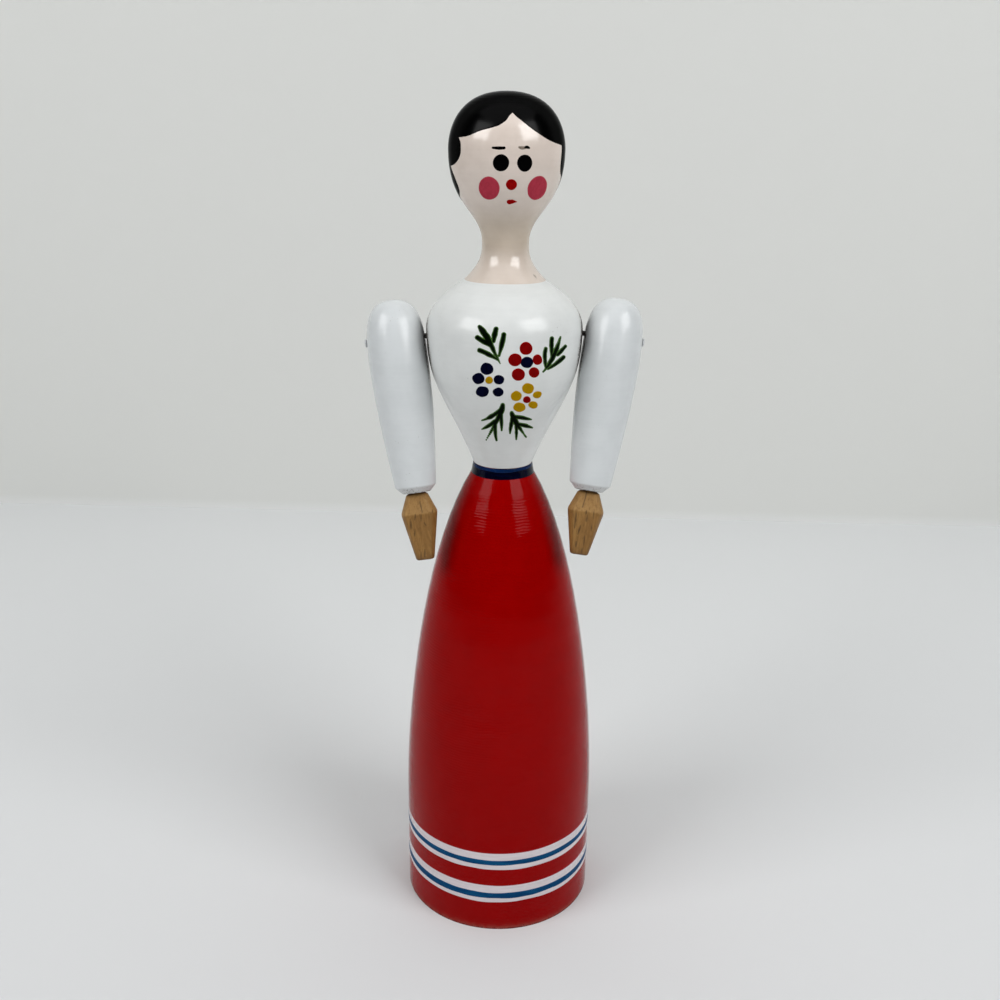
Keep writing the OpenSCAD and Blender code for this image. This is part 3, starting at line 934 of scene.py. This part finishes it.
# Each sprig: its stem, then its leaves, as strokes from the stem outwards with their half widths
SPRIGS = [
    [
        ([(500.2, 363.6), (493.2, 349.5), (489.0, 340.0)], (0.7, 2.0, 2.6, 2.8)),
        ([(490.4, 344.0), (485.2, 334.6), (479.4, 326.8)], (2.7, 3.6, 3.5, 2.1)),
        ([(491.2, 345.8), (483.6, 341.3), (477.4, 337.6)], (2.4, 3.0, 2.6)),
        ([(493.6, 341.2), (494.7, 335.0), (496.0, 329.0)], (1.9, 3.0, 2.6)),
        ([(498.9, 355.6), (501.8, 344.5), (503.9, 334.6)], (1.4, 2.9, 2.5)),
        ([(497.8, 359.6), (488.4, 354.2), (479.5, 350.2)], (1.4, 2.6, 2.5)),
    ],
    [
        ([(543.2, 371.7), (552.8, 357.3), (560.5, 337.0)], (1.0, 2.15, 2.75, 2.45, 1.0)),
        ([(546.0, 367.2), (544.8, 357.2), (545.7, 348.6)], (1.65, 2.15, 2.05)),
        ([(551.8, 356.0), (551.5, 345.5), (551.7, 338.2)], (1.55, 2.35, 2.15)),
        ([(557.6, 354.6), (562.0, 350.2), (565.4, 346.2)], (1.95, 2.25, 1.65)),
        ([(548.0, 368.7), (557.2, 362.8), (563.4, 357.0)], (1.55, 2.35, 2.15)),
    ],
    [
        ([(502.8, 405.0), (498.4, 417.4), (486.3, 439.8)], (2.3, 3.1, 2.8, 1.9, 0.95)),
        ([(500.4, 410.4), (490.6, 416.8), (481.8, 420.4)], (2.7, 2.2, 0.85)),
        ([(497.2, 419.6), (489.9, 425.0), (481.8, 429.2)], (2.2, 2.3, 0.85)),
        ([(495.0, 423.0), (495.3, 432.4), (496.5, 440.2)], (2.2, 2.0, 1.05)),
        ([(500.7, 412.4), (501.4, 422.0), (501.7, 430.3)], (2.3, 2.0, 0.95)),
    ],
    [
        ([(511.7, 413.2), (516.6, 423.2), (526.1, 437.0)], (2.2, 3.2, 2.9, 1.8, 0.95)),
        ([(513.8, 416.6), (523.0, 417.9), (531.4, 419.5)], (2.2, 2.2, 0.85)),
        ([(518.2, 424.2), (526.0, 425.9), (532.3, 427.8)], (2.2, 2.0, 0.85)),
        ([(512.6, 416.8), (510.9, 426.0), (510.0, 433.4)], (2.3, 2.0, 0.95)),
        ([(516.3, 424.0), (516.4, 432.8), (516.3, 439.3)], (1.9, 1.7, 0.95)),
    ],
]
for i, strokes in enumerate(SPRIGS):
    leaves = [Stroke(*s) for s in strokes]
    painted(f"sprig_{i + 1}", torso, leaves, leaf_green, lift=0.07, ease=0.1, cell=0.09, seed=17 + i)

# Sleeves and hands
SLEEVE_FLAT = 7.62
FLAT_EASE = 0.05
FLAT_ROOM = 0.15
SLEEVE_SIDES = 200
SLEEVE_STEP = 0.35
SLEEVE_FILLET = 0.3
PIN_BORE = 0.75
BORE_SIDES = 40
BORE_REACH = 12
CUFF_BEVEL = 1.7
PEG_FIT = 2.0
sleeve_enamel = enamel("sleeve_enamel", SLEEVE_WHITE, SLEEVE_DEEP, 0.24, 0.46, ripple=0.0004, peel=0.0005,
                       specks=0.4, dirt_and_shade="grime", dirt_and_shade_colour=rgb(0.045, 0.032, 0.022))
RUB_LENGTH = 11.0
RUB_WIDTH = 4.5
SEAT_LENGTH = 13
BEVEL_MIDDLE = 0.45 * CUFF_BEVEL
BEVEL_REACH = 0.6 * CUFF_BEVEL
END_ROOM = 0.1
EDGE_DIRT = 0.24
# The flat against the torso and the cuff's end face are darkened partly as painted shade
SEAT_DIRT_AND_SHADE = 0.75
BEVEL_DIRT = 0.45
END_DIRT_AND_SHADE = 1.1


def soft_least(a, b, ease):
    """The smaller of two lengths, eased where they are alike."""
    least = np.minimum(a, b)
    return least - ease * np.log(np.exp((least - a) / ease) + np.exp((least - b) / ease))


def cut_flat(own):
    """Cuts the side that faces the torso flat."""
    inward = soft_least(-own[:, 0], np.full(len(own), SLEEVE_FLAT), FLAT_EASE)
    return np.stack([np.where(own[:, 0] < 0, -inward, own[:, 0]), own[:, 1], own[:, 2]], 1)


def sleeve_marks(own, low):
    """Dirt on the flat's edges near the shoulder and worn paint on the cuff's bevel; the flat that faces the
    torso is darkened as dirt and painted shade in the gap, and the cuff's end face as worn paint and painted
    shade under the cuff.
    """
    inner_side = np.clip(1 + (-own[:, 0] - SLEEVE_FLAT) / RUB_WIDTH, 0, 1)
    along = np.exp(-((own[:, 2] - DARK_SPOT_MIDDLE) / RUB_LENGTH)**2)
    on_flat = -own[:, 0] > SLEEVE_FLAT - FLAT_ROOM
    seat = on_flat * np.exp(-((own[:, 2] - DARK_SPOT_MIDDLE) / SEAT_LENGTH)**4) * SEAT_DIRT_AND_SHADE
    bevel = BEVEL_DIRT * np.exp(-((own[:, 2] - low - BEVEL_MIDDLE) / BEVEL_REACH)**4)
    end = (own[:, 2] < low + END_ROOM) * END_DIRT_AND_SHADE
    return {"grime": np.maximum.reduce([EDGE_DIRT * inner_side * along, seat, bevel, end])}


def bore(piece, axis):
    """Drills the sleeve for its pin."""
    a = np.linspace(0, 2 * math.pi, BORE_SIDES, endpoint=False)
    ring = np.stack([np.zeros(BORE_SIDES), PIN_BORE * np.cos(a), PIN_BORE * np.sin(a)], 1)
    own = np.concatenate([ring + [x, 0, 0] for x in (-BORE_REACH, BORE_REACH)])
    closed, faces = closed_tube(own, BORE_SIDES)
    mesh = bpy.data.meshes.new("drill")
    mesh.from_pydata((axis.world(closed) * MM).tolist(), [], faces)
    mesh.materials.append(piece.data.materials[0])
    drill = bpy.data.objects.new("drill", mesh)
    bpy.context.scene.collection.objects.link(drill)
    cut = piece.modifiers.new("bore", "BOOLEAN")
    cut.object = drill
    cut.operation = "DIFFERENCE"
    cut.solver = "EXACT"
    bpy.context.view_layer.update()
    done = bpy.data.meshes.new_from_object(piece.evaluated_get(bpy.context.evaluated_depsgraph_get()))
    piece.modifiers.clear()
    piece.data = done
    bpy.data.objects.remove(drill)


def make_sleeve(side_name, axis, body):
    rings = turned_rings(f"{side_name}_arm", axis)
    turning = Turning(smooth_side(rings, SLEEVE_STEP, SLEEVE_FILLET), axis)
    low = turning.z[0]
    piece = turned_piece(
        f"{side_name}_sleeve", f"{side_name}_arm", turning, SLEEVE_SIDES, body, sleeve_enamel,
        shape=cut_flat, marks=lambda own: sleeve_marks(own, low),
    )
    bore(piece, axis)
    return low


PROBE_FROM = 30


def reach_of(tree, axis, height, way):
    """How far the solid reaches from the axis at a height, in one direction."""
    start = axis.place + height * axis.up + PROBE_FROM * way
    hit = tree.ray_cast(Vector(start), Vector(-way))
    return PROBE_FROM - hit[3] if hit[0] is not None else 0.0


# Dark flecks of the two hands' fronts, as strokes in pixels of the photograph
FLECKS = {
    "right": [
        ([(419.8, 501.6), (421.0, 506.8), (422.2, 512.4)], (0.35, 0.6, 0.4)),
        ([(410.8, 521.0), (411.0, 525.0), (411.1, 529.0)], (0.4, 0.95, 0.4)),
        ([(414.9, 530.6), (414.7, 533.4), (414.4, 536.2)], (0.3, 0.7, 0.3)),
        ([(415.3, 514.6), (415.1, 517.2), (414.8, 520.0)], (0.4, 0.7, 0.4)),
        ([(421.1, 515.0), (421.0, 518.0), (421.2, 521.0)], (0.3, 0.5, 0.3)),
        ([(424.4, 522.8), (425.2, 524.3), (426.3, 525.6)], (0.4, 0.6, 0.3)),
        ([(424.9, 549.2), (424.8, 553.2), (424.8, 557.2)], (0.3, 0.7, 0.5)),
        ([(421.2, 552.0), (421.0, 555.0), (421.0, 558.4)], (0.2, 0.45, 0.4)),
        ([(432.8, 509.4), (432.5, 511.2), (432.2, 513.2)], (0.3, 0.5, 0.3)),
    ],
    "left": [
        ([(586.6, 491.8), (585.1, 498.6), (582.6, 507.0)], (0.65, 0.5, 0.6)),
        ([(576.2, 512.8), (575.4, 520.6), (574.2, 528.6)], (0.35, 0.85, 0.35)),
        ([(586.6, 510.6), (586.3, 512.4), (586.0, 514.2)], (0.4, 0.75, 0.4)),
        ([(587.4, 514.8), (587.0, 518.4), (586.4, 521.8)], (0.3, 0.65, 0.3)),
        ([(580.5, 525.6), (579.3, 529.8), (577.7, 534.4)], (0.35, 0.85, 0.35)),
        ([(591.6, 524.6), (591.4, 527.4), (591.0, 530.4)], (0.2, 0.5, 0.2)),
        ([(584.5, 535.6), (584.1, 540.2), (583.5, 545.0)], (0.3, 0.6, 0.3)),
        ([(576.2, 541.4), (576.0, 544.0), (575.7, 546.8)], (0.4, 0.8, 0.4)),
        ([(582.0, 548.4), (581.8, 551.0), (581.7, 553.8)], (0.2, 0.5, 0.3)),
        ([(594.1, 509.2), (593.8, 514.0), (593.1, 519.0)], (0.2, 0.45, 0.2)),
    ],
}


FLECK_SOFT_PX = 0.7


def fleck_marks(points, axis, strokes):
    """Where the flecks are on the side of the hand that the photograph shows."""
    pixels, _ = pixels_of(points)
    depth = np.max([Stroke(*s).depth(pixels) for s in strokes], axis=0)
    own = axis.own(points)
    front = (points - axis.place - own[:, 2:3] * axis.up) @ AHEAD < 0
    return np.clip(0.5 + depth / FLECK_SOFT_PX, 0, 1) * front


HAND_ROWS = 170
HAND_SIDES = 256
HAND_END_ROOM = 0.02
HAND_BLUR = 7
HAND_ROUND = 0.38
HAND_ROUND_STEPS = 7
HAND_EDGE_EASE = 0.09
NO_FLAT = 40
TOP_EASE = 0.06
TOP_BEVEL = 0.2
PEG_IN_CUFF = 2.5
LOW_WEAR = 0.8
LOW_WEAR_REACH = 0.8
TOP_WEAR_AND_SHADE = 0.85
TOP_WEAR_AND_SHADE_REACH = 0.9
LIT_FACET_SOFT = 0.5
LIT_FACET_FADE = 6.0


def make_hand(side_name, axis, body, cuff_low, lean):
    """A hand turned as a double cone, then shaved flat in front and behind, with its peg in the cuff."""
    points, tree = node_mesh(f"{side_name}_hand")
    own = axis.own(points)
    bottom = own[:, 2].min()
    top = own[np.abs(own[:, 0]) > PEG_FIT, 2].max()
    z = np.linspace(bottom + HAND_END_ROOM, top - HAND_END_ROOM, HAND_ROWS)
    wide = np.array([reach_of(tree, axis, h, axis.out) for h in z])
    thick = np.array([reach_of(tree, axis, h, axis.third) for h in z])
    blur = np.hanning(HAND_BLUR)
    blur /= blur.sum()
    wide, thick = [np.convolve(np.pad(v, HAND_BLUR // 2, mode="edge"), blur, "valid") for v in (wide, thick)]
    peg = reach_of(tree, axis, top + TOP_BEVEL, axis.out)
    rows = []
    for turn in np.radians(np.linspace(0, 90, HAND_ROUND_STEPS)):
        inset = HAND_ROUND * (1 - math.sin(turn))
        rows.append((bottom + HAND_ROUND * (1 - math.cos(turn)), wide[0] - inset, thick[0] - inset))
    rows += [r for r in zip(z, wide, thick) if bottom + HAND_ROUND < r[0] < top - TOP_BEVEL]
    for height, inset in ((top - TOP_EASE, TOP_EASE), (top, TOP_BEVEL)):
        rows.append((height, wide[-1] - inset, thick[-1] - inset))
    rows += [(top, peg, peg), (cuff_low + PEG_IN_CUFF, peg, peg)]
    z_row, wide_row, thick_row = [np.array(rows)[:, i:i + 1] for i in range(3)]
    a = np.linspace(0, 2 * math.pi, HAND_SIDES, endpoint=False)
    flat = np.minimum(thick_row / np.maximum(np.abs(np.sin(a)), 1e-3), NO_FLAT)
    radius = soft_least(np.broadcast_to(wide_row, flat.shape), flat, HAND_EDGE_EASE)
    shaped = np.stack([
        (radius * np.cos(a)).ravel(), (radius * np.sin(a)).ravel(), np.repeat(z_row[:, 0], HAND_SIDES),
    ], 1)
    closed, faces = closed_tube(shaped, HAND_SIDES)
    worn_low = np.exp(-(closed[:, 2] - bottom) / LOW_WEAR_REACH)
    # Darker at the top next to the cuff: wear and painted shade under the cuff
    worn_top = np.exp(-np.abs(top - closed[:, 2]) / TOP_WEAR_AND_SHADE_REACH)
    worn = np.clip(LOW_WEAR * worn_low + TOP_WEAR_AND_SHADE * worn_top, 0, 1)
    # Painted light: a mask that lightens the facet above the hand's widest ridge
    above_widest = closed[:, 2] - z[np.argmax(wide)]
    facet = np.clip(above_widest / LIT_FACET_SOFT + 0.5, 0, 1) * np.exp(-above_widest / LIT_FACET_FADE)
    points = axis.world(closed)
    piece = make_piece(
        f"{side_name}_hand_wood", points, faces, body, beech(f"{side_name}_beech", lean),
        worn=worn, facet=facet, fleck=fleck_marks(points, axis, FLECKS[side_name]),
    )
    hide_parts(f"{side_name}_hand")


for side_name, axis in zip(("left", "right"), ARM_SPOTS):
    body = f"{side_name}_arm"
    cuff_low = make_sleeve(side_name, axis, body)
    lean = math.atan2(axis.up[0], axis.up[2])
    make_hand(side_name, axis, body, cuff_low, -lean)

steel = pin_metal()
for node in ("left_pin", "right_pin"):
    solid = frame["nodes"][node]
    solid.data.materials.clear()
    solid.data.materials.append(steel)

# Floor and wall
WALL_Y = 335
WALL_YAW = math.radians(2)
FLOOR_NEAR = -2600
FLOOR_BEND = -300
WALL_TOP = 1700
SIDE_REACH = 2600
FLOOR_PALER_M = -0.15, 0.3
WALL_FOOT_M = 0.007
ON_WALL_M = 1e-5
FLOOR_COLOUR = (0.69, 0.70, 0.71)
FAR_FLOOR_COLOUR = (0.77, 0.785, 0.79)
WALL_COLOUR = (0.768, 0.778, 0.755)
WALL_FOOT_COLOUR = (0.82, 0.83, 0.82)


def make_backdrop():
    y = [FLOOR_NEAR, FLOOR_BEND, WALL_Y, WALL_Y]
    z = [0, 0, 0, WALL_TOP]
    c, s = math.cos(WALL_YAW), math.sin(WALL_YAW)
    points = []
    for x in (-SIDE_REACH, SIDE_REACH):
        for along, up in zip(y, z):
            points.append((x, along if along < 0 else along - x * s / c, up))
    n = len(y)
    faces = [[i, n + i, n + i + 1, i + 1] for i in range(n - 1)]
    mesh = bpy.data.meshes.new("backdrop")
    mesh.from_pydata((np.array(points) * MM).tolist(), [], faces)
    f = Finish("backdrop_paper", 0.9, 0.1)
    place = f.node("SeparateXYZ", {0: f.place}).outputs
    floor = f.mix(f.span(place["Y"], *FLOOR_PALER_M), rgb(*FLOOR_COLOUR), rgb(*FAR_FLOOR_COLOUR))
    wall = f.mix(f.span(place["Z"], 0.0, WALL_FOOT_M), rgb(*WALL_FOOT_COLOUR), rgb(*WALL_COLOUR))
    tone = f.mix(f.math("GREATER_THAN", place["Z"], ON_WALL_M), floor, wall)
    f.done(tone)
    mesh.materials.append(f.material)
    backdrop = bpy.data.objects.new("backdrop", mesh)
    bpy.context.scene.collection.objects.link(backdrop)


# Two window-like lamps, a wide lamp overhead and a weak even light
LAMP_AIM = np.array([0, 0, 110])
LAMPS = {
    "window_left": {"turn": -56, "height": 36, "away": 900, "size": (0.48, 0.42), "radiance": 5.5},
    "window_right": {"turn": 50, "height": 37, "away": 900, "size": (0.52, 0.44), "radiance": 5.75},
    "overhead": {"turn": 10, "height": 76, "away": 1300, "size": (2.0, 1.5), "radiance": 0.8},
}
WORLD_COLOUR = (0.95, 0.97, 1.0)
WORLD_STRENGTH = 0.02


def make_lamp(name, turn, height, away, size, radiance):
    a, e = math.radians(turn), math.radians(height)
    way = np.array([math.sin(a) * math.cos(e), -math.cos(a) * math.cos(e), math.sin(e)])
    data = bpy.data.lights.new(name, "AREA")
    data.shape = "RECTANGLE"
    data.size, data.size_y = size
    data.energy = radiance * math.pi * size[0] * size[1]
    lamp = bpy.data.objects.new(name, data)
    lamp.location = Vector((LAMP_AIM + away * way) * MM)
    lamp.rotation_mode = "QUATERNION"
    lamp.rotation_quaternion = Vector(way).to_track_quat("Z", "Y")
    bpy.context.scene.collection.objects.link(lamp)


def make_world():
    world = bpy.data.worlds.new("room")
    world.use_nodes = True
    sky = world.node_tree.nodes["Background"]
    sky.inputs["Color"].default_value = rgb(*WORLD_COLOUR)
    sky.inputs["Strength"].default_value = WORLD_STRENGTH
    bpy.context.scene.world = world


make_backdrop()
for name, facts in LAMPS.items():
    make_lamp(name, **facts)
make_world()
make_camera()
bpy.context.scene.view_settings.view_transform = "Standard"
